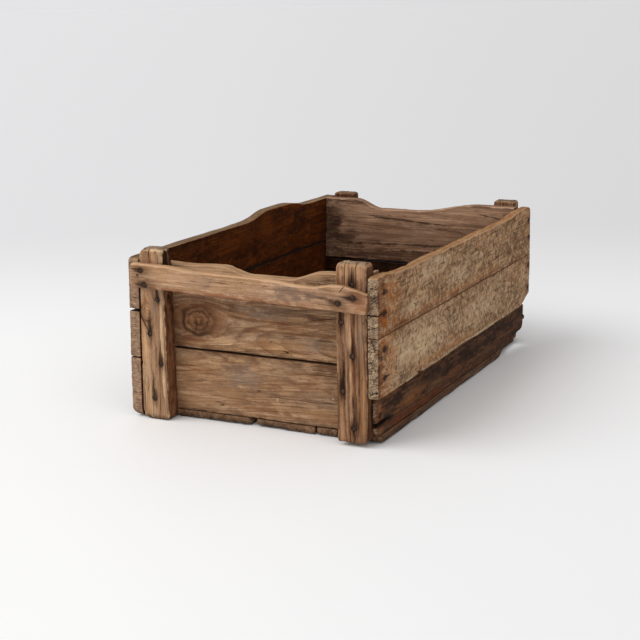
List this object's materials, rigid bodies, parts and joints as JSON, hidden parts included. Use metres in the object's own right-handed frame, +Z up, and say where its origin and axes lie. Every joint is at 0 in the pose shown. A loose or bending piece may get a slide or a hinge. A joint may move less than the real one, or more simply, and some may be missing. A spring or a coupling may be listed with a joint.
{
  "type": "wooden crate",
  "caption": "Open rectangular farm crate of nailed weathered boards on corner posts, with a handle rail across each end and worn scoops in the end boards.",
  "frame": {"origin": "on the ground, under the middle of the crate's outline", "axes": "+X to the right side seen from the front end, +Y towards the rear end, +Z up"},
  "size_m": [0.3714, 0.634, 0.2375],
  "materials": {
    "floor_wood": "raw, damp-darkened and grimy",
    "end_wood": "raw, weathered brown with grey patches",
    "post_wood": "raw, weathered with rust streaks below the nails",
    "side_wood": "raw, weathered brown",
    "bleached_wood": "raw, sun-bleached with dark flecks",
    "dark_wood": "raw, almost black with age",
    "rail_wood": "raw, worn smooth by hands",
    "nail_iron": "dull, lightly rusted"
  },
  "bodies": {
    "root": {"floor_board_1": "floor_wood", "floor_board_2": "floor_wood", "floor_board_3": "floor_wood", "floor_board_4": "floor_wood", "front_end_board_lower": "end_wood", "front_end_board_upper": "end_wood", "rear_end_board_lower": "end_wood", "rear_end_board_upper": "end_wood", "front_left_post": "post_wood", "front_right_post": "post_wood", "rear_left_post": "post_wood", "rear_right_post": "post_wood", "left_side_board_lower": "side_wood", "left_side_board_middle": "side_wood", "left_side_board_upper": "side_wood", "right_side_board_lower": "dark_wood", "right_side_board_middle": "bleached_wood", "right_side_board_upper": "bleached_wood", "front_handle_rail": "rail_wood", "rear_handle_rail": "rail_wood", "front_rail_nails": "nail_iron", "rear_rail_nails": "nail_iron", "front_post_nails": "nail_iron", "rear_post_nails": "nail_iron", "left_side_nails": "nail_iron", "right_side_nails": "nail_iron", "floor_nails": "nail_iron"}
  },
  "joints": []
}
